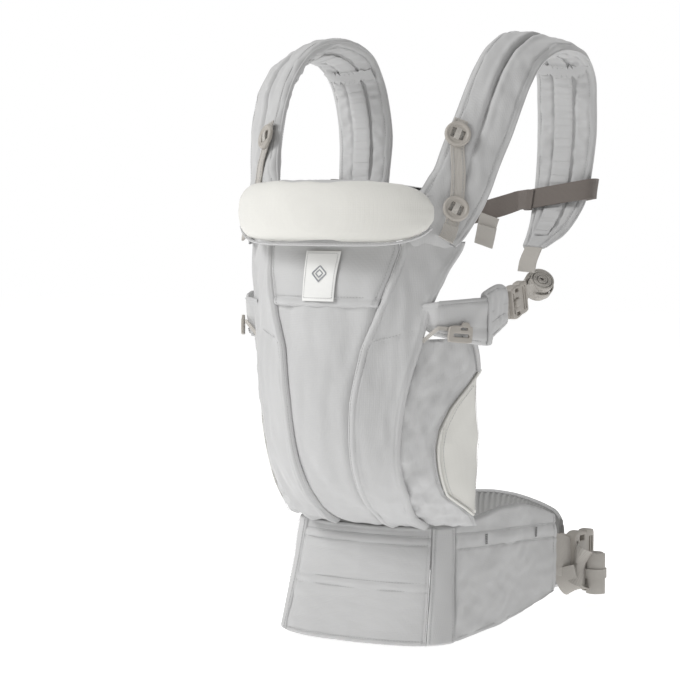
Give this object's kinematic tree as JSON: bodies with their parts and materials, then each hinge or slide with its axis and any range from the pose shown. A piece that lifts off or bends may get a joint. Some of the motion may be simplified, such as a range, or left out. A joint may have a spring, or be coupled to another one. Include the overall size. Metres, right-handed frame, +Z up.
{
  "type": "soft baby carrier",
  "caption": "Structured soft baby carrier worn on the body: curved seat panel, padded waist belt, padded shoulder straps, fold-out headrest and side-release buckles.",
  "frame": {"origin": "middle of the wearer's waist, level with the lower edge of the belt", "axes": "+Z up the wearer's body, -Y out of the front of the carrier, +X to the wearer's left"},
  "size_m": [0.3578, 0.5281, 0.6864],
  "materials": {
    "main_fabric": "fine woven pearl grey cotton, matt",
    "cream_fabric": "soft cream cotton, matt",
    "lining_foam": "grey lined foam",
    "web_greige": "ribbed greige webbing",
    "web_taupe": "ribbed taupe webbing",
    "plastic_greige": "moulded greige plastic, satin",
    "label": "smooth off-white woven label"
  },
  "bodies": {
    "carrier": {"body_centre_panel": "main_fabric", "hood_pocket": "main_fabric", "label_patch": "label", "waistband_front_panel": "main_fabric", "waistband_foam_core": "lining_foam", "body_side_panel_left": "main_fabric", "seat_gusset_left": "main_fabric", "leg_pad_left": "cream_fabric", "side_arm_left": "main_fabric", "slider_webbing_left": "web_greige", "side_buckle_female_left": "plastic_greige", "seat_width_strip_left": "main_fabric", "body_side_panel_right": "main_fabric", "seat_gusset_right": "main_fabric", "leg_pad_right": "cream_fabric", "side_arm_right": "main_fabric", "slider_webbing_right": "web_greige", "side_buckle_female_right": "plastic_greige", "seat_width_strip_right": "main_fabric"},
    "headrest": {"headrest_pillow": "cream_fabric"},
    "strap_right": {"shoulder_strap_right": "main_fabric", "neck_webbing_right": "web_greige", "neck_button_upper_right": "plastic_greige", "neck_button_lower_right": "plastic_greige", "strap_webbing_right": "web_greige"},
    "strap_left": {"shoulder_strap_left": "main_fabric", "neck_webbing_left": "web_greige", "neck_button_upper_left": "plastic_greige", "neck_button_lower_left": "plastic_greige", "strap_webbing_left": "web_greige"},
    "chest_strap_right": {"chest_loop_right": "web_taupe", "chest_webbing_right": "web_taupe", "chest_buckle_female": "plastic_greige", "chest_tail_keeper": "web_greige"},
    "chest_strap_left": {"chest_loop_left": "web_taupe"},
    "chest_clip": {"chest_buckle_male": "plastic_greige", "chest_webbing_left": "web_taupe"},
    "side_clip_right": {"side_buckle_male_right": "plastic_greige", "webbing_roll_right": "web_greige", "roll_keeper_right": "web_greige"},
    "side_clip_left": {"side_buckle_male_left": "plastic_greige", "webbing_roll_left": "web_greige", "roll_keeper_left": "web_greige"},
    "side_button_right": {"side_buckle_button_right": "plastic_greige"},
    "side_button_left": {"side_buckle_button_left": "plastic_greige"},
    "slider_right": {"width_slider_right": "plastic_greige"},
    "slider_left": {"width_slider_left": "plastic_greige"},
    "belt_right": {"waist_wing_right": "main_fabric", "webbing_casing_right": "main_fabric", "waist_webbing_right": "web_greige", "waist_buckle_female": "plastic_greige", "waist_roll": "web_greige", "waist_roll_keeper": "web_greige"},
    "belt_left": {"waist_wing_left": "main_fabric", "webbing_casing_left": "main_fabric", "waist_webbing_left": "web_greige", "lumbar_pad": "main_fabric", "waist_webbing_rear": "web_greige"},
    "waist_clip": {"waist_buckle_male": "plastic_greige"},
    "waist_button": {"waist_buckle_button": "plastic_greige"}
  },
  "joints": [
    {"name": "headrest_fold", "type": "hinge", "parent": "carrier", "child": "headrest", "pos_m": [0, -0.214, 0.513], "axis": [-1, 0, 0], "range_deg": [0, 165]},
    {"name": "strap_right_swing", "type": "hinge", "parent": "carrier", "child": "strap_right", "pos_m": [0.106, -0.174, 0.45], "axis": [1, 0, 0], "range_deg": [0, 25]},
    {"name": "strap_left_swing", "type": "hinge", "parent": "carrier", "child": "strap_left", "pos_m": [-0.106, -0.174, 0.45], "axis": [1, 0, 0], "range_deg": [0, 25]},
    {"name": "chest_right_height", "type": "slide", "parent": "strap_right", "child": "chest_strap_right", "axis": [0, 0.3102, 0.9507], "range_m": [-0.01, 0.01]},
    {"name": "chest_left_height", "type": "slide", "parent": "strap_left", "child": "chest_strap_left", "axis": [0, 0.3102, 0.9507], "range_m": [-0.01, 0.01]},
    {"name": "chest_buckle_release", "type": "slide", "parent": "chest_strap_left", "child": "chest_clip", "axis": [-1, 0, 0], "range_m": [0, 0.013]},
    {"name": "side_release_right", "type": "slide", "parent": "carrier", "child": "side_clip_right", "axis": [0, 0.9755, 0.2201], "range_m": [0, 0.02]},
    {"name": "side_release_left", "type": "slide", "parent": "carrier", "child": "side_clip_left", "axis": [0, 0.9755, 0.2201], "range_m": [0, 0.02]},
    {"name": "side_button_press_right", "type": "slide", "parent": "carrier", "child": "side_button_right", "axis": [-1, 0, 0], "range_m": [0, 0.0015], "stiffness_N_per_m": 300},
    {"name": "side_button_press_left", "type": "slide", "parent": "carrier", "child": "side_button_left", "axis": [1, 0, 0], "range_m": [0, 0.0015], "stiffness_N_per_m": 300},
    {"name": "width_slide_right", "type": "slide", "parent": "carrier", "child": "slider_right", "axis": [0.5033, 0.8594, -0.0904], "range_m": [-0.003, 0.007]},
    {"name": "width_slide_left", "type": "slide", "parent": "carrier", "child": "slider_left", "axis": [-0.5033, 0.8594, -0.0904], "range_m": [-0.003, 0.007]},
    {"name": "belt_right_swing", "type": "hinge", "parent": "carrier", "child": "belt_right", "pos_m": [0.108, -0.1, 0.06], "axis": [0, 0, -1], "range_deg": [0, 30]},
    {"name": "belt_left_swing", "type": "hinge", "parent": "carrier", "child": "belt_left", "pos_m": [-0.108, -0.1, 0.06], "axis": [0, 0, 1], "range_deg": [0, 30]},
    {"name": "waist_buckle_release", "type": "slide", "parent": "belt_right", "child": "waist_clip", "axis": [0.08, 0.9968, 0], "range_m": [0, 0.024]},
    {"name": "waist_button_press", "type": "slide", "parent": "belt_right", "child": "waist_button", "axis": [-0.9968, 0.08, 0], "range_m": [0, 0.0016], "stiffness_N_per_m": 300}
  ],
  "couplings": [
    {"joint": "strap_left_swing", "follows": "strap_right_swing", "ratio": 1},
    {"joint": "chest_left_height", "follows": "chest_right_height", "ratio": 1}
  ]
}
